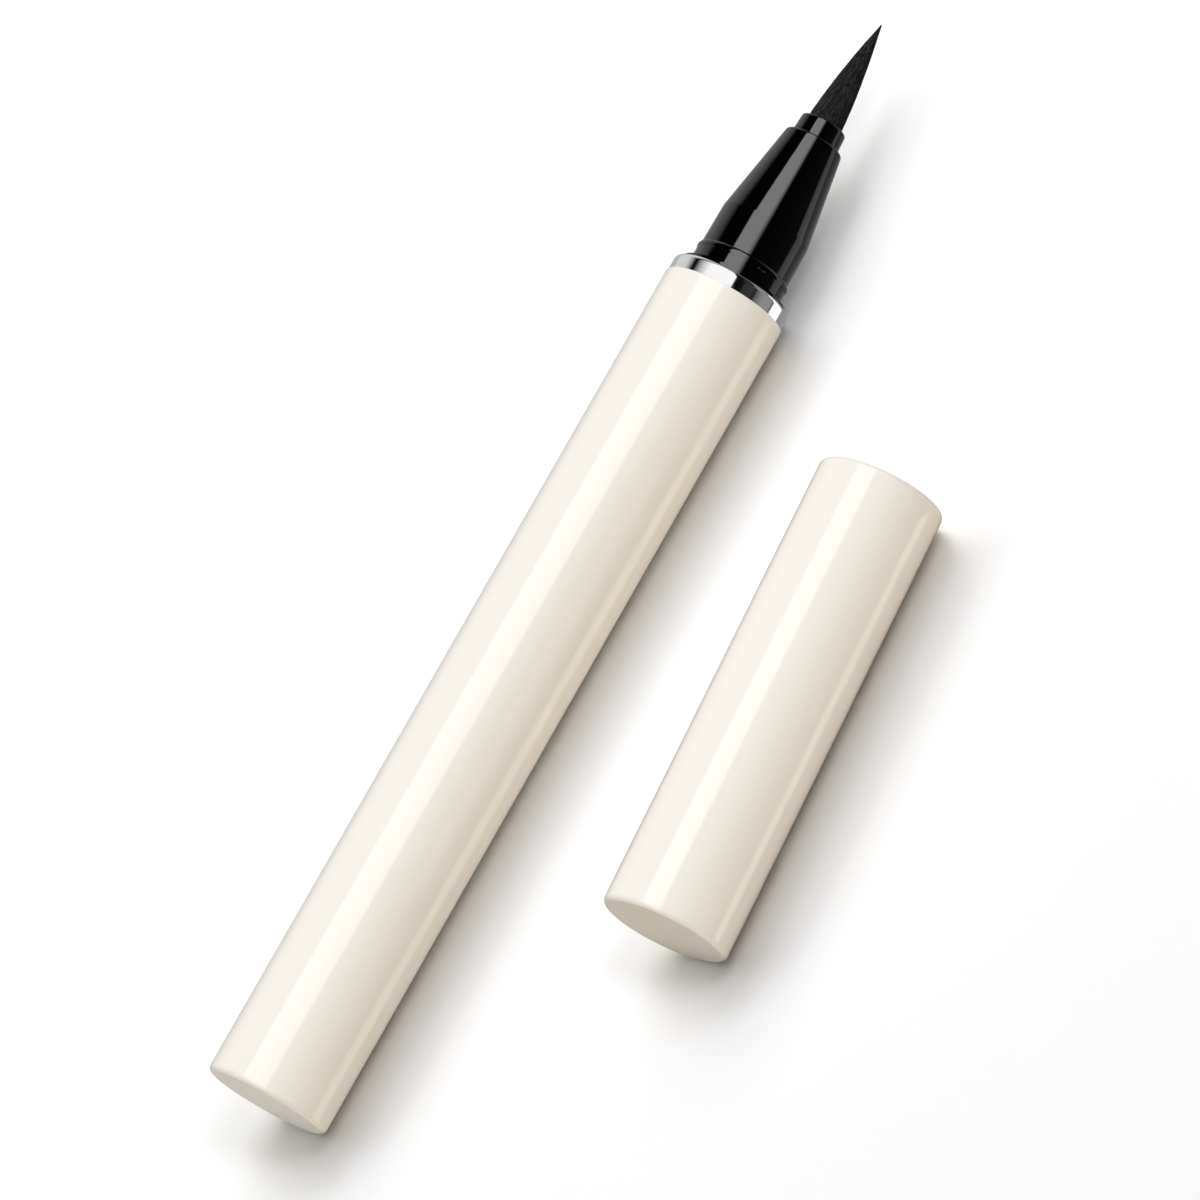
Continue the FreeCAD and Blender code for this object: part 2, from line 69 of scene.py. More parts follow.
LOG = logging.getLogger("eyeliner_pen")
MM = 0.001
GOLDEN_ANGLE = math.pi * (3.0 - math.sqrt(5.0))
Colour = tuple[float, float, float]
Point = tuple[float, float, float]
Pair = tuple[float, float]
Names = tuple[str, ...]
Socket = bpy.types.NodeSocket
UNIT: Pair = (0.0, 1.0)
NOISE_SPAN: Pair = (0.3, 0.7)
WHITE: Colour = (1.0, 1.0, 1.0)


class Slot(Enum):
    """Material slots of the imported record."""

    IVORY = "ivory_lacquer"
    RING = "ring_plating"
    NOSE = "nose_black"
    BRISTLE = "bristle"
    NATURAL = "natural_plastic"
    WICK = "wick_fibre"
    STEEL = "steel"


class Body(Enum):
    """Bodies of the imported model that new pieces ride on."""

    PEN = "pen"
    CAP = "cap"


class Sight(Enum):
    """Which rays meet a studio object."""

    GLOSS = "gloss"
    DIFFUSE = "diffuse"


class NodeSketch:
    """A shader or geometry node tree that is being put together."""

    def __init__(self, tree: bpy.types.NodeTree) -> None:
        """Keeps the tree that the nodes go into."""
        self.tree = tree

    def add(self, kind: str, inputs: dict[Any, Any] | None = None, **settings: Any) -> bpy.types.Node:
        """Adds a node and fills or links its inputs.

        Args:
            kind: Blender's name for the node's type.
            inputs: Values or output sockets, by the input's name or number.
            settings: Properties of the node itself.

        Returns:
            The new node.
        """
        node = self.tree.nodes.new(kind)
        for name, value in settings.items():
            setattr(node, name, value)
        for key, value in (inputs or {}).items():
            if isinstance(value, Socket):
                self.tree.links.new(value, node.inputs[key])
            else:
                node.inputs[key].default_value = value
        return node

    def math(self, operation: str, first: Any, second: Any = 0.0) -> Socket:
        """Adds a Math node.

        Args:
            operation: Blender's name for the operation.
            first: Value or socket.
            second: Value or socket.

        Returns:
            The node's output socket.
        """
        return self.add("ShaderNodeMath", {0: first, 1: second}, operation=operation).outputs[0]

    def spread(self, value: Any, source: Pair, target: tuple[Any, Any]) -> Socket:
        """Maps a value from one range to another, clamped.

        Args:
            value: Value or socket.
            source: Range that the value comes in.
            target: Range that it leaves in.

        Returns:
            The mapped value's socket.
        """
        inputs = {0: value, 1: source[0], 2: source[1], 3: target[0], 4: target[1]}
        return self.add("ShaderNodeMapRange", inputs).outputs[0]

    def ramp(self, value: Any, stops: tuple[Pair, ...]) -> Socket:
        """Adds a grey ramp.

        Args:
            value: Value or socket, from 0 to 1.
            stops: Place and brightness of each stop.

        Returns:
            The ramp's colour socket.
        """
        node = self.add("ShaderNodeValToRGB", {0: value})
        steps = node.color_ramp.elements
        while len(steps) < len(stops):
            steps.new(1.0)
        for step, (place, grey) in zip(steps, stops):
            step.position = place
            step.color = (grey, grey, grey, 1.0)
        return node.outputs[0]


class ShaderSketch(NodeSketch):
    """A material with one Principled shader, patterned on Object coordinates."""

    def __init__(self, name: str) -> None:
        """Starts an empty material of that name."""
        self.material = bpy.data.materials.new(name)
        self.material.use_nodes = True
        super().__init__(self.material.node_tree)
        self.tree.nodes.clear()
        self.place = self.add("ShaderNodeTexCoord").outputs["Object"]

    def stretched(self, scale: Point) -> Socket:
        """Scales the Object coordinates along X, Y and Z, so that a pattern runs long in one direction."""
        return self.add("ShaderNodeMapping", {"Vector": self.place, "Scale": scale}).outputs[0]

    def noise(self, vector: Socket, scale: float, detail: float = 2.0) -> Socket:
        """Adds a noise pattern.

        Args:
            vector: Coordinates that it reads.
            scale: Patches per metre of those coordinates.
            detail: Levels of finer noise.

        Returns:
            The noise value's socket.
        """
        inputs = {"Vector": vector, "Scale": scale, "Detail": detail}
        return self.add("ShaderNodeTexNoise", inputs).outputs[0]

    def blend(self, factor: Socket, first: Colour, second: Colour | Socket) -> Socket:
        """Blends two colours by a pattern.

        Args:
            factor: Pattern from 0, the first colour, to 1, the second.
            first: Linear colour.
            second: Linear colour, or the socket of one.

        Returns:
            The blended colour's socket.
        """
        other = second if isinstance(second, Socket) else (*second, 1.0)
        inputs = {"Factor": factor, 6: (*first, 1.0), 7: other}
        return self.add("ShaderNodeMix", inputs, data_type="RGBA").outputs[2]

    def bump(self, height: Socket, depth: float) -> Socket:
        """Raises the surface by a pattern.

        Args:
            height: Pattern from 0 to 1.
            depth: Height of the pattern in metres.

        Returns:
            The bumped normal's socket.
        """
        inputs = {"Strength": 1.0, "Distance": depth, "Height": height}
        return self.add("ShaderNodeBump", inputs).outputs[0]

    def finish(self, **inputs: Any) -> bpy.types.Material:
        """Adds the Principled shader.

        Args:
            inputs: Values or sockets by input name, with _ for a space.

        Returns:
            The finished material.
        """
        named = {name.replace("_", " "): value for name, value in inputs.items()}
        shader = self.add("ShaderNodeBsdfPrincipled", named)
        self.add("ShaderNodeOutputMaterial", {"Surface": shader.outputs[0]})
        return self.material


class Finish(Protocol):
    """Anything that can make the material of a piece."""

    slot: Slot

    def material(self) -> bpy.types.Material:
        """Makes the material."""


@dataclass(frozen=True)
class IvoryLacquer:
    """Gloss ivory lacquer with a faint orange peel and slightly warmer patches."""

    colour: Colour = (0.890, 0.845, 0.755)
    warm_patch: Colour = (0.878, 0.830, 0.733)
    patch_scale: float = 70.0
    haze_scale: float = 350.0
    peel_scale: float = 900.0
    peel_depth: float = 1.6e-6
    gloss: Pair = (0.035, 0.065)
    slot: Slot = Slot.IVORY

    def material(self) -> bpy.types.Material:
        """Makes the lacquer."""
        sketch = ShaderSketch(self.slot.value)
        patches = sketch.noise(sketch.place, self.patch_scale, detail=3.0)
        peel = sketch.noise(sketch.place, self.peel_scale, detail=1.0)
        haze = sketch.noise(sketch.place, self.haze_scale, detail=4.0)
        return sketch.finish(
            Base_Color=sketch.blend(patches, self.colour, self.warm_patch),
            Roughness=sketch.spread(haze, NOISE_SPAN, self.gloss),
            Normal=sketch.bump(peel, self.peel_depth),
        )


@dataclass(frozen=True)
class BrightPlating:
    """Bright plated metal with fine turned lines round the pen's axis."""

    colour: Colour = (0.885, 0.885, 0.890)
    dull_line: Colour = (0.800, 0.800, 0.810)
    line_stretch: Point = (9000.0, 120.0, 120.0)
    line_depth: float = 2.0e-7
    gloss: Pair = (0.045, 0.110)
    slot: Slot = Slot.RING

    def material(self) -> bpy.types.Material:
        """Makes the plating."""
        sketch = ShaderSketch(self.slot.value)
        lines = sketch.noise(sketch.stretched(self.line_stretch), 1.0)
        return sketch.finish(
            Base_Color=sketch.blend(lines, self.colour, self.dull_line),
            Metallic=1.0,
            Roughness=sketch.spread(lines, NOISE_SPAN, self.gloss),
            Normal=sketch.bump(lines, self.line_depth),
        )


@dataclass(frozen=True)
class GlossBlack:
    """Black moulded plastic with a polished skin and faint flow marks along the pen."""

    colour: Colour = (0.0003, 0.0003, 0.0003)
    flow_mark: Colour = (0.0009, 0.0009, 0.0009)
    flow_stretch: Point = (120.0, 700.0, 700.0)
    flow_depth: float = 2.0e-6
    gloss: Pair = (0.050, 0.090)
    slot: Slot = Slot.NOSE

    def material(self) -> bpy.types.Material:
        """Makes the black plastic."""
        sketch = ShaderSketch(self.slot.value)
        flow = sketch.noise(sketch.stretched(self.flow_stretch), 1.0)
        return sketch.finish(
            Base_Color=sketch.blend(flow, self.colour, self.flow_mark),
            Roughness=sketch.spread(flow, NOISE_SPAN, self.gloss),
            Normal=sketch.bump(flow, self.flow_depth),
        )


@dataclass(frozen=True)
class InkedBristle:
    """Black bristles that ink holds together, a little greyer where they dry."""

    colour: Colour = (0.0008, 0.0008, 0.0009)
    dry_streak: Colour = (0.0190, 0.0187, 0.0187)
    streak_stretch: Point = (2700.0, 6000.0, 6000.0)
    streak_span: Pair = (0.47, 0.58)
    streak_depth: float = 40.0e-6
    dullness: Pair = (0.50, 0.70)
    shine: float = 0.14
    slot: Slot = Slot.BRISTLE

    def material(self) -> bpy.types.Material:
        """Makes the bristles' material."""
        sketch = ShaderSketch(self.slot.value)
        streaks = sketch.noise(sketch.stretched(self.streak_stretch), 1.0)
        dry = sketch.spread(streaks, self.streak_span, UNIT)
        return sketch.finish(
            Base_Color=sketch.blend(dry, self.colour, self.dry_streak),
            Roughness=sketch.spread(streaks, NOISE_SPAN, self.dullness),
            Normal=sketch.bump(streaks, self.streak_depth),
            Specular_IOR_Level=self.shine,
        )


@dataclass(frozen=True)
class NaturalPlastic:
    """Milky uncoloured plastic with a satin moulded skin."""

    colour: Colour = (0.780, 0.775, 0.735)
    cloud: Colour = (0.715, 0.705, 0.655)
    cloud_scale: float = 160.0
    grain_scale: float = 3800.0
    grain_depth: float = 5.0e-6
    satin: Pair = (0.26, 0.40)
    bleed: float = 0.0007
    bleed_weight: float = 0.25
    bleed_reach: Colour = (1.0, 0.9, 0.75)
    slot: Slot = Slot.NATURAL

    def material(self) -> bpy.types.Material:
        """Makes the milky plastic."""
        sketch = ShaderSketch(self.slot.value)
        clouds = sketch.noise(sketch.place, self.cloud_scale, detail=3.0)
        grain = sketch.noise(sketch.place, self.grain_scale)
        return sketch.finish(
            Base_Color=sketch.blend(clouds, self.colour, self.cloud),
            Roughness=sketch.spread(clouds, NOISE_SPAN, self.satin),
            Normal=sketch.bump(grain, self.grain_depth),
            Subsurface_Weight=self.bleed_weight,
            Subsurface_Radius=self.bleed_reach,
            Subsurface_Scale=self.bleed,
        )


@dataclass(frozen=True)
class InkedWick:
    """Fibre rod soaked in ink, with long fibres."""

    colour: Colour = (0.010, 0.010, 0.011)
    fibre: Colour = (0.055, 0.053, 0.052)
    fibre_stretch: Point = (180.0, 7000.0, 7000.0)
    fibre_depth: float = 2.5e-5
    dullness: Pair = (0.70, 0.90)
    slot: Slot = Slot.WICK

    def material(self) -> bpy.types.Material:
        """Makes the soaked fibre."""
        sketch = ShaderSketch(self.slot.value)
        fibres = sketch.noise(sketch.stretched(self.fibre_stretch), 1.0, detail=3.0)
        return sketch.finish(
            Base_Color=sketch.blend(fibres, self.colour, self.fibre),
            Roughness=sketch.spread(fibres, NOISE_SPAN, self.dullness),
            Normal=sketch.bump(fibres, self.fibre_depth),
        )


@dataclass(frozen=True)
class BrightSteel:
    """Bright drawn steel with fine rubbed marks."""

    colour: Colour = (0.560, 0.560, 0.565)
    rub: Colour = (0.430, 0.430, 0.440)
    rub_scale: float = 2600.0
    rub_depth: float = 1.2e-6
    gloss: Pair = (0.16, 0.34)
    slot: Slot = Slot.STEEL

    def material(self) -> bpy.types.Material:
        """Makes the steel."""
        sketch = ShaderSketch(self.slot.value)
        rubs = sketch.noise(sketch.place, self.rub_scale, detail=4.0)
        return sketch.finish(
            Base_Color=sketch.blend(rubs, self.colour, self.rub),
            Metallic=1.0,
            Roughness=sketch.spread(rubs, NOISE_SPAN, self.gloss),
            Normal=sketch.bump(rubs, self.rub_depth),
        )


class FinishBook:
    """One material for each slot, made when first asked for."""

    def __init__(self, *finishes: Finish) -> None:
        """Keeps the finishes by their slot."""
        self.finishes = {finish.slot: finish for finish in finishes}
        self.made: dict[Slot, bpy.types.Material] = {}

    def material(self, slot: Slot) -> bpy.types.Material:
        """Gives the material of a slot, made once."""
        if slot not in self.made:
            self.made[slot] = self.finishes[slot].material()
        return self.made[slot]

    def dress(self, node: str, slot: Slot) -> None:
        """Puts a slot's material on a carried-over solid.

        Args:
            node: Name of the solid.
            slot: Slot whose material it takes.
        """
        piece = frame["nodes"][node]
        for place in piece.material_slots:
            place.material = self.material(slot)
        LOG.info("%s carries %s", node, slot.value)


def link(piece: bpy.types.Object) -> bpy.types.Object:
    """Puts an object into the scene and returns it."""
    bpy.context.scene.collection.objects.link(piece)
    return piece


def mesh_object(name: str, points: list[Point], faces: list[tuple[int, ...]]) -> bpy.types.Object:
    """Makes a mesh object at the origin.

    Args:
        name: Name of object and mesh.
        points: Vertices in metres.
        faces: Vertex numbers of each face, anticlockwise seen from outside.

    Returns:
        The object, in the scene.
    """
    mesh = bpy.data.meshes.new(name)
    mesh.from_pydata(points, [], faces)
    mesh.update()
    return link(bpy.data.objects.new(name, mesh))


def lathe(name: str, outline: list[Pair], sides: int) -> bpy.types.Object:
    """Turns an outline round the X axis into a closed mesh.

    Args:
        name: Name of the piece.
        outline: Place along X and radius of each ring, from the back to the front, in metres.
        sides: Points in a ring.

    Returns:
        The turned object.
    """
    points: list[Point] = []
    for along, radius in outline:
        for k in range(sides):
            angle = 2.0 * math.pi * k / sides
            points.append((along, radius * math.cos(angle), radius * math.sin(angle)))
    faces: list[tuple[int, ...]] = [tuple(reversed(range(sides)))]
    for ring in range(len(outline) - 1):
        base = ring * sides
        for k in range(sides):
            after = (k + 1) % sides
            faces.append((base + k, base + after, base + sides + after, base + sides + k))
    faces.append(tuple(range(len(points) - sides, len(points))))
    return mesh_object(name, points, faces)


def grow(piece: bpy.types.Object, tree: bpy.types.NodeTree, values: dict[str, Any]) -> None:
    """Runs a geometry tree on an object and keeps the result as its plain mesh.

    Args:
        piece: Object whose mesh goes in.
        tree: Geometry node tree.
        values: The tree's inputs by name.
    """
    modifier = piece.modifiers.new(tree.name, "NODES")
    modifier.node_group = tree
    for item in tree.interface.items_tree:
        if item.in_out == "INPUT" and item.name in values:
            modifier[item.identifier] = values[item.name]
    evaluated = piece.evaluated_get(bpy.context.evaluated_depsgraph_get())
    mesh = bpy.data.meshes.new_from_object(evaluated)
    piece.modifiers.remove(modifier)
    piece.data = mesh


def geometry_tree(name: str, inputs: dict[str, str]) -> tuple[NodeSketch, bpy.types.Node]:
    """Starts a geometry tree with named inputs.

    Args:
        name: Name of the tree.
        inputs: Socket type of each input by name.

    Returns:
        The tree's sketch and its input node.
    """
    tree = bpy.data.node_groups.new(name, "GeometryNodeTree")
    for label, kind in inputs.items():
        tree.interface.new_socket(name=label, in_out="INPUT", socket_type=kind)
    tree.interface.new_socket(name="Geometry", in_out="OUTPUT", socket_type="NodeSocketGeometry")
    sketch = NodeSketch(tree)
    return sketch, sketch.add("NodeGroupInput")


def close_tree(sketch: NodeSketch, geometry: Socket, finish: Socket) -> None:
    """Ends a geometry tree with realised, smooth and dressed geometry.

    Args:
        sketch: Tree to end.
        geometry: What the tree has made.
        finish: Socket of the material.
    """
    real = sketch.add("GeometryNodeRealizeInstances", {"Geometry": geometry})
    smooth = sketch.add("GeometryNodeSetShadeSmooth", {"Geometry": real.outputs[0]})
    dressed = sketch.add("GeometryNodeSetMaterial", {"Geometry": smooth.outputs[0], "Material": finish})
    sketch.add("NodeGroupOutput", {"Geometry": dressed.outputs[0]})


@dataclass
class Barrel:
    """Ivory barrel with the plated ring at its front."""

    finishes: FinishBook

    def dress(self) -> None:
        """Lacquers the barrel and plates the ring."""
        self.finishes.dress("barrel", Slot.IVORY)
        self.finishes.dress("trim_ring", Slot.RING)


@dataclass
class Nose:
    """Black nose and the collar that holds the brush."""

    finishes: FinishBook

    def dress(self) -> None:
        """Gives both their polished black."""
        self.finishes.dress("front_section", Slot.NOSE)
        self.finishes.dress("nib_holder", Slot.NOSE)


@dataclass
class InkSystem:
    """Tank, plug, collector, wick and mixing ball inside the barrel."""

    finishes: FinishBook

    def dress(self) -> None:
        """Dresses the hidden pieces as what they are."""
        for node in ("ink_tank", "tank_plug", "ink_collector"):
            self.finishes.dress(node, Slot.NATURAL)
        self.finishes.dress("feed_wick", Slot.WICK)
        self.finishes.dress("mixing_ball", Slot.STEEL)


@dataclass
class BrushNib:
    """Pointed bundle of bristles over a slim core, with its root in the collar."""

    finishes: FinishBook
    length: float = 10.1 * MM
    root_radius: float = 1.565 * MM
    tip_radius: float = 0.06 * MM
    bulge: float = 0.165 * MM
    tail_length: float = 6.4 * MM
    shoulder: float = 0.3 * MM
    core_share: float = 0.93
    core_sides: int = 40
    core_rings: int = 24
    fibre_count: int = 240
    fibre_radius: float = 0.062 * MM
    fibre_sides: int = 5
    fibre_points: int = 14
    fibre_start: float = -0.03
    shortest_fibre: float = 0.30
    thin_from: float = 0.62
    thinnest: float = 0.22
    sink: Pair = (0.55, 1.5)
    least_radius: float = 0.012 * MM
    wave: float = 0.05 * MM
    wave_fade: Pair = (0.6, 0.15)
    wave_pace: float = 7.0
    sway: float = 0.16
    sway_pace: float = 5.0
    sway_layer: float = 40.0
    lane_gap: float = 3.71
    drift_span: Pair = (0.2, 0.8)
    seed: int = 7
    piece: bpy.types.Object | None = field(default=None, init=False)

    def radius_at(self, share: float) -> float:
        """Radius of the bundle at a share of its length from the collar."""
        straight = self.root_radius + (self.tip_radius - self.root_radius) * share
        return straight + 4.0 * self.bulge * share * (1.0 - share)

    def core_outline(self) -> list[Pair]:
        """Outline of the core from the end of its tail to the tip."""
        outline = [(-self.tail_length, self.root_radius), (-self.shoulder, self.root_radius)]
        for ring in range(self.core_rings + 1):
            share = ring / self.core_rings
            outline.append((share * self.length, self.radius_at(share) * self.core_share))
        return outline

    def plant(self, sketch: NodeSketch, size: Any) -> Socket:
        """Plants one straight strand for each bristle.

        Args:
            sketch: Tree that is being put together.
            size: The tree's inputs by name.

        Returns:
            The strands' socket.
        """
        roots = sketch.add("GeometryNodePoints", {"Count": size["Fibre count"]}).outputs[0]
        line = sketch.add("GeometryNodeCurvePrimitiveLine", {"End": (1.0, 0.0, 0.0)}).outputs[0]
        evenly = {"Curve": line, "Count": size["Fibre points"]}
        strand = sketch.add("GeometryNodeResampleCurve", evenly).outputs[0]
        planted = sketch.add("GeometryNodeInstanceOnPoints", {"Points": roots, "Instance": strand})
        return sketch.add("GeometryNodeRealizeInstances", {"Geometry": planted.outputs[0]}).outputs[0]

    def chance(self, sketch: NodeSketch, seed: Socket, number: Socket, draw: float) -> Socket:
        """Draws a random value from 0 to 1 for each numbered bristle."""
        drawn = sketch.math("ADD", seed, draw)
        return sketch.add("FunctionNodeRandomValue", {"ID": number, "Seed": drawn}).outputs[1]

    def wander(self, sketch: NodeSketch, number: Socket, step: Socket, pace: float, layer: float) -> Socket:
        """Makes smooth noise from -1 to 1 along each bristle.

        Args:
            sketch: Tree that is being put together.
            number: The bristle's number.
            step: Place along the bristle, from 0 to 1.
            pace: How fast the noise changes along the bristle.
            layer: Layer of the noise, so that two motions differ.

        Returns:
            The noise value's socket.
        """
        lane = sketch.math("MULTIPLY", number, self.lane_gap)
        run = sketch.math("MULTIPLY", step, pace)
        vector = sketch.add("ShaderNodeCombineXYZ", {0: run, 1: lane, 2: layer}).outputs[0]
        drift = sketch.add("ShaderNodeTexNoise", {"Vector": vector, "Scale": 1.0, "Detail": 1.0})
        return sketch.spread(drift.outputs[0], self.drift_span, (-1.0, 1.0))

    def lay(self, sketch: NodeSketch, size: Any, strands: Socket) -> Socket:
        """Lays the strands over the core, each to a length of its own.

        Args:
            sketch: Tree that is being put together.
            size: The tree's inputs by name.
            strands: Straight strands.

        Returns:
            The laid strands' socket.
        """
        index = sketch.add("GeometryNodeInputIndex").outputs[0]
        per_strand = {"domain": "CURVE", "data_type": "INT"}
        number = sketch.add("GeometryNodeFieldOnDomain", {0: index}, **per_strand).outputs[0]
        step = sketch.add("GeometryNodeSplineParameter").outputs["Factor"]
        reach = self.chance(sketch, size["Seed"], number, 0.0)
        end = sketch.spread(reach, UNIT, (size["Shortest fibre"], 1.0))
        share = sketch.spread(step, UNIT, (self.fibre_start, end))
        along = sketch.math("MULTIPLY", share, size["Length"])
        narrow = sketch.math("SUBTRACT", size["Tip radius"], size["Root radius"])
        straight = sketch.math("ADD", size["Root radius"], sketch.math("MULTIPLY", narrow, share))
        belly = sketch.math("MULTIPLY", share, sketch.math("SUBTRACT", 1.0, share))
        swell = sketch.math("MULTIPLY", sketch.math("MULTIPLY", belly, 4.0), size["Bulge"])
        outside = sketch.math("ADD", straight, swell)
        depth = sketch.spread(self.chance(sketch, size["Seed"], number, 1.0), UNIT, self.sink)
        sunk = sketch.math("SUBTRACT", outside, sketch.math("MULTIPLY", depth, size["Fibre radius"]))
        ripple = self.wander(sketch, number, step, self.wave_pace, 0.0)
        ripple = sketch.math("MULTIPLY", ripple, size["Wave"])
        ripple = sketch.math("MULTIPLY", ripple, sketch.spread(share, UNIT, self.wave_fade))
        radius = sketch.math("MAXIMUM", sketch.math("ADD", sunk, ripple), self.least_radius)
        sway = self.wander(sketch, number, step, self.sway_pace, self.sway_layer)
        sway = sketch.math("MULTIPLY", sway, self.sway)
        turn = sketch.math("ADD", sketch.math("MULTIPLY", number, GOLDEN_ANGLE), sway)
        across = sketch.math("MULTIPLY", radius, sketch.math("COSINE", turn))
        above = sketch.math("MULTIPLY", radius, sketch.math("SINE", turn))
        spot = sketch.add("ShaderNodeCombineXYZ", {0: along, 1: across, 2: above}).outputs[0]
        return sketch.add("GeometryNodeSetPosition", {"Geometry": strands, "Position": spot}).outputs[0]

    def skin(self, sketch: NodeSketch, size: Any, laid: Socket) -> Socket:
        """Gives the laid strands a round skin that thins towards the tip.

        Args:
            sketch: Tree that is being put together.
            size: The tree's inputs by name.
            laid: Strands on the core.

        Returns:
            The bristles' socket.
        """
        circle = {"Resolution": self.fibre_sides, "Radius": size["Fibre radius"]}
        ring = sketch.add("GeometryNodeCurvePrimitiveCircle", circle).outputs[0]
        step = sketch.add("GeometryNodeSplineParameter").outputs["Factor"]
        taper = sketch.spread(step, (self.thin_from, 1.0), (1.0, self.thinnest))
        inputs = {"Curve": laid, "Profile Curve": ring, "Scale": taper, "Fill Caps": True}
        return sketch.add("GeometryNodeCurveToMesh", inputs).outputs[0]

    def bundle_tree(self) -> bpy.types.NodeTree:
        """Makes the tree that lays bristles over the core.

        Returns:
            A tree with named inputs for the bundle's sizes and its seed.
        """
        sketch, given = geometry_tree(
            "bristle_bundle",
            {
                "Core": "NodeSocketGeometry",
                "Fibre count": "NodeSocketInt",
                "Fibre points": "NodeSocketInt",
                "Fibre radius": "NodeSocketFloat",
                "Shortest fibre": "NodeSocketFloat",
                "Length": "NodeSocketFloat",
                "Root radius": "NodeSocketFloat",
                "Tip radius": "NodeSocketFloat",
                "Bulge": "NodeSocketFloat",
                "Wave": "NodeSocketFloat",
                "Seed": "NodeSocketInt",
                "Finish": "NodeSocketMaterial",
            },
        )
        size = given.outputs
        bristles = self.skin(sketch, size, self.lay(sketch, size, self.plant(sketch, size)))
        joined = sketch.add("GeometryNodeJoinGeometry", {0: size["Core"]})
        sketch.tree.links.new(bristles, joined.inputs[0])
        close_tree(sketch, joined.outputs[0], size["Finish"])
        return sketch.tree

    def build(self) -> None:
        """Turns the core, lays the bristles on it and sets the bundle in the collar."""
        self.piece = lathe("nib_bristles", self.core_outline(), self.core_sides)
        grow(
            self.piece,
            self.bundle_tree(),
            {
                "Fibre count": self.fibre_count,
                "Fibre points": self.fibre_points,
                "Fibre radius": self.fibre_radius,
                "Shortest fibre": self.shortest_fibre,
                "Length": self.length,
                "Root radius": self.root_radius,
                "Tip radius": self.tip_radius,
                "Bulge": self.bulge,
                "Wave": self.wave,
                "Seed": self.seed,
                "Finish": self.finishes.material(Slot.BRISTLE),
            },
        )
        low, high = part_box("brush_nib")
        middle = (low + high) / 2.0
        self.piece.data.transform(Matrix.Translation((high.x - self.length, middle.y, middle.z)))

    def dress(self) -> None:
        """Lets the bundle ride with the pen in place of the plain nib."""
        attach(self.piece, Body.PEN.value)
        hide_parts("brush_nib")
        LOG.info("%s has %d faces", self.piece.name, len(self.piece.data.polygons))


def cap_axis() -> Vector:
    """Direction from the cap's closed end to its mouth."""
    pull = next(joint for joint in frame["joints"] if joint["name"] == "cap_pull")
    return Vector(pull["axis"]).normalized()


@dataclass
class Cap:
    """Ivory cap with its sleeve, its sprung cup and the spring behind the cup."""

    finishes: FinishBook
    length: float = 41.0 * MM
    spring_start: float = 1.5 * MM
    spring_end: float = 13.73 * MM
    spring_radius: float = 4.235 * MM
    wire_radius: float = 0.2 * MM
    wire_sides: int = 12
    turns: float = 6.0
    steps_per_turn: int = 28
    cup_travel: float = 1.8 * MM
    spring: bpy.types.Object | None = field(default=None, init=False)

    def closed_end(self) -> Vector:
        """Middle of the cap's closed end."""
        low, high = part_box("cap_shell")
        return (low + high) / 2.0 - cap_axis() * (self.length / 2.0)

    def spring_tree(self) -> bpy.types.NodeTree:
        """Makes the tree that winds the spring.

        Returns:
            A tree with named inputs for the coil's sizes.
        """
        sketch, given = geometry_tree(
            "seal_spring",
            {
                "Start": "NodeSocketGeometry",
                "Steps per turn": "NodeSocketInt",
                "Turns": "NodeSocketFloat",
                "Coil radius": "NodeSocketFloat",
                "Coil length": "NodeSocketFloat",
                "Wire radius": "NodeSocketFloat",
                "Finish": "NodeSocketMaterial",
            },
        )
        size = given.outputs
        coil = sketch.add(
            "GeometryNodeCurveSpiral",
            {
                "Resolution": size["Steps per turn"],
                "Rotations": size["Turns"],
                "Start Radius": size["Coil radius"],
                "End Radius": size["Coil radius"],
                "Height": size["Coil length"],
            },
        )
        circle = {"Resolution": self.wire_sides, "Radius": size["Wire radius"]}
        wire = sketch.add("GeometryNodeCurvePrimitiveCircle", circle)
        wound = sketch.add(
            "GeometryNodeCurveToMesh",
            {"Curve": coil.outputs[0], "Profile Curve": wire.outputs[0], "Fill Caps": True},
        )
        close_tree(sketch, wound.outputs[0], size["Finish"])
        return sketch.tree

    def build(self) -> None:
        """Winds the spring along the cap's axis."""
        self.spring = mesh_object("seal_spring", [], [])
        grow(
            self.spring,
            self.spring_tree(),
            {
                "Steps per turn": self.steps_per_turn,
                "Turns": self.turns,
                "Coil radius": self.spring_radius,
                "Coil length": self.spring_end - self.spring_start - 2.0 * self.wire_radius,
                "Wire radius": self.wire_radius,
                "Finish": self.finishes.material(Slot.STEEL),
            },
        )
        axis = cap_axis()
        foot = self.closed_end() + axis * (self.spring_start + self.wire_radius)
        turned = axis.to_track_quat("Z", "Y").to_matrix().to_4x4()
        self.spring.data.transform(Matrix.Translation(foot) @ turned)

    def dress(self) -> None:
        """Finishes shell, sleeve and cup, and lets the spring ride with the cap."""
        self.finishes.dress("cap_shell", Slot.IVORY)
        self.finishes.dress("cap_liner", Slot.NATURAL)
        self.finishes.dress("inner_cap", Slot.NATURAL)
        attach(self.spring, Body.CAP.value)
        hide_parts("cap_spring")
        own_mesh(self.spring)
        LOG.info("%s has %d faces", self.spring.name, len(self.spring.data.polygons))


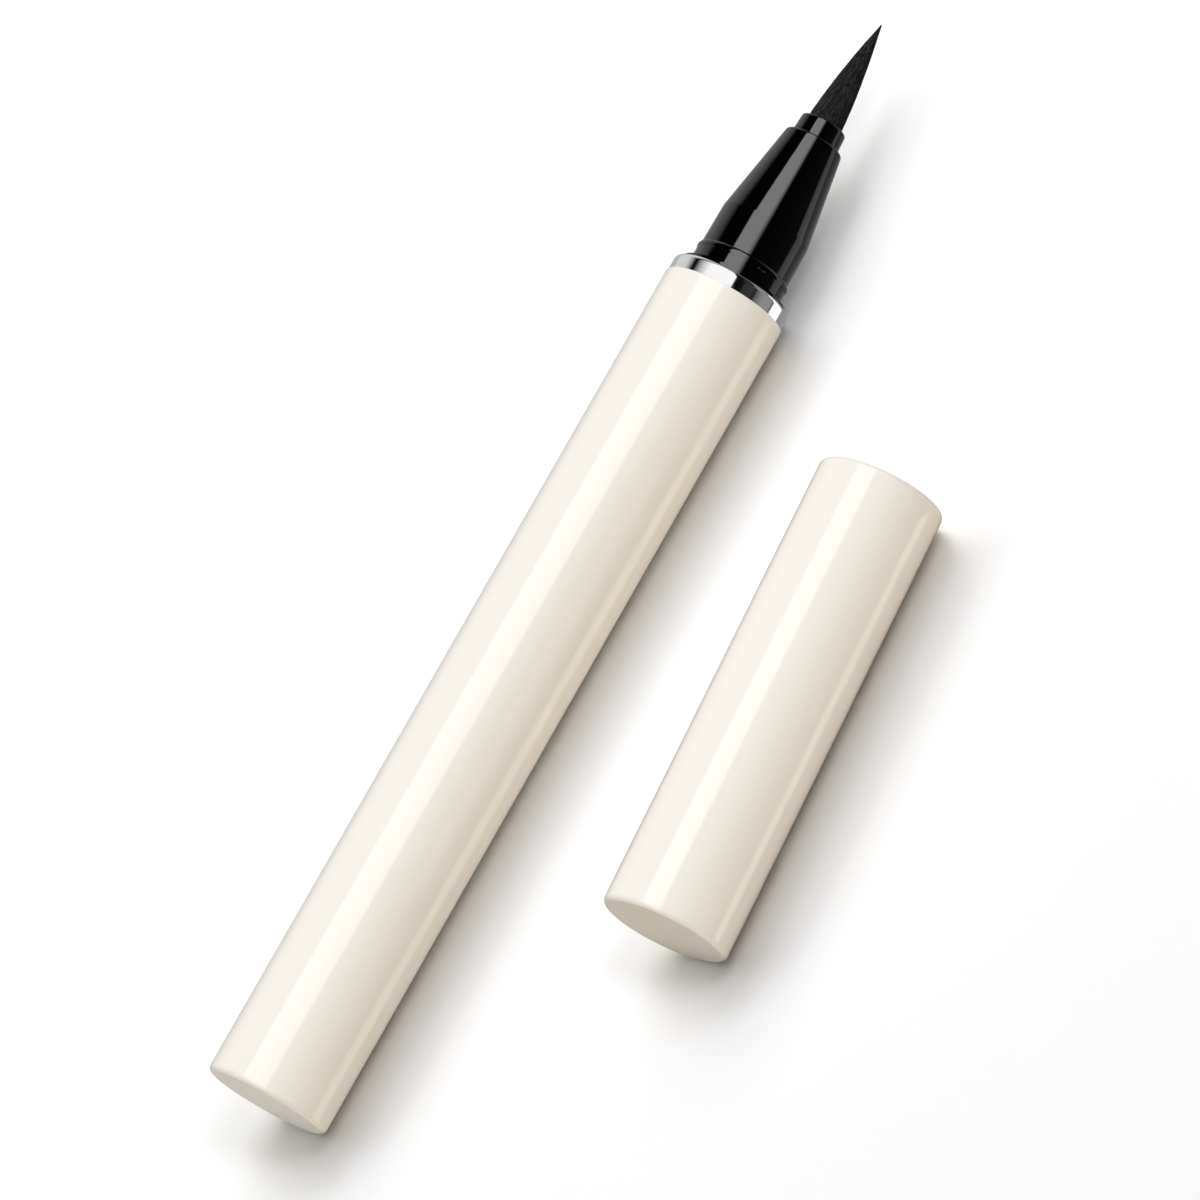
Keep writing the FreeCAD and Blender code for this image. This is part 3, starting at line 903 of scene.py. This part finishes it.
FLOOR = ("studio_floor",)
IVORY_PIECES = ("barrel", "cap_shell")
NOSE_PIECES = ("front_section", "nib_holder", "nib_bristles")
RING_PIECES = ("trim_ring",)
INNER_PIECES = ("cap_liner", "inner_cap", "seal_spring")
CAP_PIECES = ("cap_shell",) + INNER_PIECES
WIDE_PIECES = IVORY_PIECES + RING_PIECES
ALL_PIECES = IVORY_PIECES + NOSE_PIECES + RING_PIECES + INNER_PIECES
CAP_TURN = math.degrees(math.atan2(cap_axis().y, cap_axis().x))
KEY_TINT: Colour = (0.99, 1.0, 1.045)
BACK_TINT: Colour = (1.01, 1.0, 0.95)
SIDE_TINT: Colour = (1.0, 1.0, 0.93)
TOP_TINT: Colour = (0.97, 1.0, 1.08)
FRONT_TINT: Colour = (0.99, 1.0, 1.05)
ALONG_TINT: Colour = (1.08, 1.0, 0.92)
GLOW: Colour = (1.08, 1.0, 0.88)
END_GLOW: Colour = (1.16, 1.0, 0.74)


@dataclass(frozen=True)
class SoftLamp:
    """Soft rectangular lamp for the gloss or the matt colour of some things, in millimetres and degrees."""

    name: str
    sight: Sight
    lit: Names
    place: Point
    size: Pair
    radiance: float
    colour: Colour = WHITE
    upwards: bool = False
    turn: float = 0.0
    blockers: Names = ()

    @classmethod
    def on_pieces(cls, name: str, place: Point, size: Pair, radiance: float, colour: Colour = WHITE) -> Self:
        """Lamp over the matt colour of every piece."""
        return cls(name, Sight.DIFFUSE, ALL_PIECES, place, size, radiance, colour)

    @classmethod
    def on_floor(
        cls,
        name: str,
        place: Point,
        size: Pair,
        radiance: float,
        colour: Colour = WHITE,
        blockers: Names = (),
    ) -> Self:
        """Lamp over the floor alone, with the shadow of all pieces or of the blockers."""
        return cls(name, Sight.DIFFUSE, FLOOR, place, size, radiance, colour, blockers=blockers)

    @classmethod
    def bounce(
        cls,
        name: str,
        piece: str,
        place: Point,
        size: Pair,
        radiance: float,
        colour: Colour = GLOW,
        turn: float = 0.0,
    ) -> Self:
        """Warm light from the floor on one piece's matt colour."""
        return cls(name, Sight.DIFFUSE, (piece,), place, size, radiance, colour, upwards=True, turn=turn)

    @classmethod
    def overhead(cls, name: str, lit: Names, place: Point, size: Pair, radiance: float) -> Self:
        """Softbox that shows in the gloss of some pieces."""
        return cls(name, Sight.GLOSS, lit, place, size, radiance)

    @classmethod
    def low_strip(
        cls,
        name: str,
        lit: Names,
        place: Point,
        size: Pair,
        radiance: float,
        turn: float = 0.0,
    ) -> Self:
        """Strip on the floor that shows in the gloss of some pieces."""
        return cls(name, Sight.GLOSS, lit, place, size, radiance, upwards=True, turn=turn)

    def pick(self, title: str, names: Names) -> bpy.types.Collection:
        """Collects the things that the lamp lights, or that block its light."""
        picked = bpy.data.collections.new(f"{self.name}_{title}")
        for name in names:
            picked.objects.link(bpy.data.objects[name])
        return picked

    def build(self) -> None:
        """Hangs the lamp level, facing down unless it faces upwards."""
        lamp = bpy.data.lights.new(self.name, "AREA")
        lamp.shape = "RECTANGLE"
        lamp.size, lamp.size_y = (side * MM for side in self.size)
        lamp.energy = self.radiance * math.pi * lamp.size * lamp.size_y
        lamp.color = self.colour
        hung = link(bpy.data.objects.new(self.name, lamp))
        hung.location = Vector(self.place) * MM
        hung.rotation_euler = (math.pi if self.upwards else 0.0, 0.0, math.radians(self.turn))
        hung.visible_camera = False
        hung.visible_transmission = False
        hung.visible_volume_scatter = False
        hung.visible_glossy = self.sight is Sight.GLOSS
        hung.visible_diffuse = self.sight is Sight.DIFFUSE
        hung.light_linking.receiver_collection = self.pick("lit", self.lit)
        if self.blockers:
            hung.light_linking.blocker_collection = self.pick("blockers", self.blockers)


def graded_strips(
    name: str,
    lit: Names,
    edge: Point,
    size: Pair,
    radiance: Pair,
    count: int,
    upwards: bool = False,
) -> tuple[SoftLamp, ...]:
    """Lays strips side by side, so that a reflection fades from one edge to the other.

    Args:
        name: Name of the row of strips.
        lit: Pieces whose gloss shows them.
        edge: Middle of the row's first edge, in millimetres.
        size: Length along X and reach along Y from that edge, in millimetres.
        radiance: Radiance of the first and the last strip.
        count: Number of strips.
        upwards: Whether they face upwards.

    Returns:
        The strips, from the first edge on.
    """
    width = size[1] / count
    strips = []
    for k in range(count):
        share = k / (count - 1)
        glow = radiance[0] + (radiance[1] - radiance[0]) * share
        place = (edge[0], edge[1] + (k + 0.5) * width, edge[2])
        each = (size[0], abs(width))
        strips.append(SoftLamp(f"{name}_{k}", Sight.GLOSS, lit, place, each, glow, upwards=upwards))
    return tuple(strips)


@dataclass
class Studio:
    """White floor, white surroundings, overhead softboxes and low strips for the gloss, in metres."""

    floor_half: float = 3.0
    floor_drop: float = 0.02 * MM
    floor_white_near: float = 0.985
    floor_white_far: float = 0.885
    floor_fade: Pair = (-0.08, 0.08)
    floor_bounce: Colour = (0.98, 0.92, 0.83)
    # Painted reflection: the emitted grey ramp across Y that glossy rays see on the floor in place of its lit
    # white.
    sweep: Pair = (-0.05, 0.05)
    sweep_stops: tuple[Pair, ...] = ((0.0, 0.02), (0.54, 0.05), (0.60, 0.30), (0.70, 0.45), (1.0, 0.5))
    room_stops: tuple[Pair, ...] = (
        (0.0, 0.03), (0.12, 0.012), (0.20, 0.002), (0.725, 0.002), (0.765, 0.35), (0.82, 0.70), (1.0, 0.75),
    )
    fill: float = 0.10
    lamps: tuple[SoftLamp, ...] = (
        SoftLamp.on_pieces("key_softbox", (50.0, -50.0, 600.0), (900.0, 600.0), 3.1, KEY_TINT),
        SoftLamp.on_pieces("front_fill", (0.0, -900.0, 640.0), (2000.0, 900.0), 0.3),
        SoftLamp.on_floor("floor_over", (65.0, 287.0, 610.0), (300.0, 240.0), 1.3),
        SoftLamp.on_floor("floor_over_barrel", (65.0, 287.0, 611.0), (300.0, 240.0), 2.3, WHITE, WIDE_PIECES),
        SoftLamp.on_floor("floor_back", (35.0, 503.0, 612.0), (1365.0, 400.0), 2.05, BACK_TINT, WIDE_PIECES),
        SoftLamp.on_floor("floor_side", (685.0, 360.0, 614.0), (740.0, 550.0), 1.85, SIDE_TINT),
        SoftLamp.on_floor("floor_top", (290.0, 60.0, 616.0), (275.0, 310.0), 5.4, TOP_TINT),
        SoftLamp.on_floor("floor_front", (205.0, -430.0, 618.0), (160.0, 365.0), 8.75, FRONT_TINT),
        SoftLamp.on_floor("floor_along", (950.0, -235.0, 620.0), (1750.0, 390.0), 0.75, ALONG_TINT),
        SoftLamp.bounce("tail_bounce", "barrel", (-75.0, 12.0, 0.04), (36.0, 44.0), 0.46, END_GLOW),
        SoftLamp.bounce("cap_bounce", "cap_shell", (-48.0, -18.0, 0.04), (30.0, 44.0), 0.64),
        SoftLamp.bounce("pen_bounce", "barrel", (-14.0, 7.0, 0.03), (78.0, 8.0), 0.16),
        SoftLamp.bounce(
            "cap_side_bounce", "cap_shell", (-6.5, -26.5, 0.03), (42.0, 14.0), 0.20, turn=CAP_TURN
        ),
        SoftLamp.overhead("gloss_over_barrel", ("barrel",), (100.0, -125.0, 580.0), (3000.0, 500.0), 2.6),
        SoftLamp.overhead("gloss_over_cap", CAP_PIECES, (100.0, -63.0, 582.0), (3000.0, 348.0), 2.6),
        SoftLamp.overhead("gloss_over_nose", NOSE_PIECES, (155.0, -240.0, 585.0), (3000.0, 450.0), 4.25),
        *graded_strips("nose_fade", NOSE_PIECES, (155.0, -465.0, 585.0), (3000.0, -190.0), (3.4, 0.6), 4),
        SoftLamp.overhead("gloss_over_ring", RING_PIECES, (200.0, -257.0, 590.0), (3000.0, 685.0), 1.1),
        *graded_strips("ring_back", RING_PIECES, (200.0, 85.0, 590.0), (3000.0, 337.0), (0.95, 0.03), 8),
        SoftLamp.overhead("ring_front_high", RING_PIECES, (200.0, -3300.0, 592.0), (4000.0, 4200.0), 0.02),
        *graded_strips(
            "ring_floor", RING_PIECES, (60.0, -260.0, 0.05), (400.0, 210.0), (0.05, 0.12), 4, upwards=True
        ),
        *graded_strips(
            "ring_floor_near", RING_PIECES, (40.0, -50.0, 0.05), (90.0, 54.0), (0.14, 0.24), 4, upwards=True
        ),
        SoftLamp.low_strip("strip_before_pen", ("barrel",), (-14.0, 6.75, 0.09), (80.0, 3.3), 1.25),
        SoftLamp.low_strip("strip_before_ring", RING_PIECES, (26.0, 7.1, 0.06), (20.0, 4.4), 1.0),
        SoftLamp.low_strip("strip_before_nose", NOSE_PIECES, (45.0, 7.6, 0.07), (60.0, 4.0), 0.65),
        SoftLamp.low_strip(
            "strip_before_cap", ("cap_shell",), (-6.7, -23.95, 0.08), (42.0, 3.3), 1.6, turn=CAP_TURN
        ),
    )

    def build_floor(self) -> None:
        """Lays a matt white floor that gloss sees as a painted reflection: a dim emitted grey sweep, dark on
        the camera's side and brighter behind the pen.
        """
        half = self.floor_half
        drop = -self.floor_drop
        corners = [(-half, -half, drop), (half, -half, drop), (half, half, drop), (-half, half, drop)]
        floor = mesh_object("studio_floor", corners, [(0, 1, 2, 3)])
        sketch = ShaderSketch("studio_white")
        along, across, _ = sketch.add("ShaderNodeSeparateXYZ", {0: sketch.place}).outputs
        # The paint darkens from floor_white_near at -X to floor_white_far at +X, where the floor lamps shine
        # brighter, so that the floor shows evenly white.
        fade = sketch.spread(along, self.floor_fade, UNIT)
        paint = sketch.blend(fade, (self.floor_white_near,) * 3, (self.floor_white_far,) * 3)
        # Painted reflection: glossy rays see this emitted ramp, dark on the camera's side and brighter behind
        # the pen, instead of the lit floor.
        seen = sketch.ramp(sketch.spread(across, self.sweep, UNIT), self.sweep_stops)
        path = sketch.add("ShaderNodeLightPath").outputs
        white = sketch.blend(path["Is Camera Ray"], self.floor_bounce, paint)
        matt = sketch.add("ShaderNodeBsdfDiffuse", {"Color": white}).outputs[0]
        painted_floor_reflection = sketch.add("ShaderNodeEmission", {"Color": seen}).outputs[0]
        shown = sketch.add("ShaderNodeMixShader", {0: path["Is Glossy Ray"], 1: matt, 2: painted_floor_reflection})
        sketch.add("ShaderNodeOutputMaterial", {"Surface": shown.outputs[0]})
        sketch.material.cycles.emission_sampling = "NONE"
        floor.data.materials.append(sketch.material)

    def build_surroundings(self) -> None:
        """Makes the surroundings white to the eye, an even fill to matt colour and a graded room to gloss."""
        world = bpy.data.worlds.new("studio_surroundings")
        bpy.context.scene.world = world
        world.use_nodes = True
        sketch = NodeSketch(world.node_tree)
        sketch.tree.nodes.clear()
        heading = sketch.add("ShaderNodeTexCoord").outputs["Generated"]
        parts = sketch.add("ShaderNodeSeparateXYZ", {0: heading}).outputs
        lift = sketch.math("ARCTAN2", parts[2], sketch.math("MULTIPLY", parts[1], -1.0))
        room = sketch.ramp(sketch.spread(lift, (0.0, math.pi), UNIT), self.room_stops)
        path = sketch.add("ShaderNodeLightPath").outputs
        plain = (*WHITE, 1.0)
        fill = sketch.add("ShaderNodeBackground", {"Strength": self.fill, "Color": plain}).outputs[0]
        white = sketch.add("ShaderNodeBackground", {"Strength": 1.0, "Color": plain}).outputs[0]
        graded = sketch.add("ShaderNodeBackground", {"Strength": 1.0, "Color": room}).outputs[0]
        direct = sketch.math("MAXIMUM", path["Is Camera Ray"], path["Is Transmission Ray"])
        seen = sketch.add("ShaderNodeMixShader", {0: direct, 1: fill, 2: white}).outputs[0]
        shown = sketch.add("ShaderNodeMixShader", {0: path["Is Glossy Ray"], 1: seen, 2: graded})
        sketch.add("ShaderNodeOutputWorld", {"Surface": shown.outputs[0]})

    def build(self) -> None:
        """Sets up the whole studio round the finished pieces."""
        self.build_floor()
        self.build_surroundings()
        for lamp in self.lamps:
            lamp.build()
        bpy.context.scene.view_settings.view_transform = "Standard"
        LOG.info("studio has %d lamps", len(self.lamps))


@dataclass(frozen=True)
class PhotoCamera:
    """Camera at the photograph's viewing angle, over a square picture."""

    aim: Point = (-1.511 * MM, 16.465 * MM, 0.0)
    distance: float = 661.602 * MM
    azimuth: float = 15.2338
    elevation: float = 41.4736
    roll: float = -50.0962
    lens: float = 236.266
    sensor: float = 36.0
    clip: Pair = (0.01, 50.0)

    def build(self) -> None:
        """Makes the camera and gives it to the scene."""
        turn, lift, roll = (math.radians(a) for a in (self.azimuth, self.elevation, self.roll))
        look = Vector((math.sin(turn) * math.cos(lift), math.cos(turn) * math.cos(lift), -math.sin(lift)))
        level = look.cross(Vector((0.0, 0.0, 1.0))).normalized()
        upright = level.cross(look)
        right = level * math.cos(roll) + upright * math.sin(roll)
        top = upright * math.cos(roll) - level * math.sin(roll)
        place = Vector(self.aim) - look * self.distance
        data = bpy.data.cameras.new("photo_camera")
        data.lens = self.lens
        data.sensor_width = self.sensor
        data.clip_start, data.clip_end = self.clip
        camera = link(bpy.data.objects.new("photo_camera", data))
        camera.matrix_world = Matrix((right, top, -look)).transposed().to_4x4()
        camera.location = place
        bpy.context.scene.camera = camera


def main() -> None:
    """Builds camera, studio and every sub-assembly in order."""
    logging.basicConfig(level=logging.INFO, format="%(name)s: %(message)s")
    PhotoCamera().build()
    finishes = FinishBook(
        IvoryLacquer(),
        BrightPlating(),
        GlossBlack(),
        InkedBristle(),
        NaturalPlastic(),
        InkedWick(),
        BrightSteel(),
    )
    Barrel(finishes).dress()
    Nose(finishes).dress()
    InkSystem(finishes).dress()
    brush = BrushNib(finishes)
    brush.build()
    brush.dress()
    cap = Cap(finishes)
    cap.build()
    cap.dress()
    Studio().build()


if __name__ == "__main__":
    main()
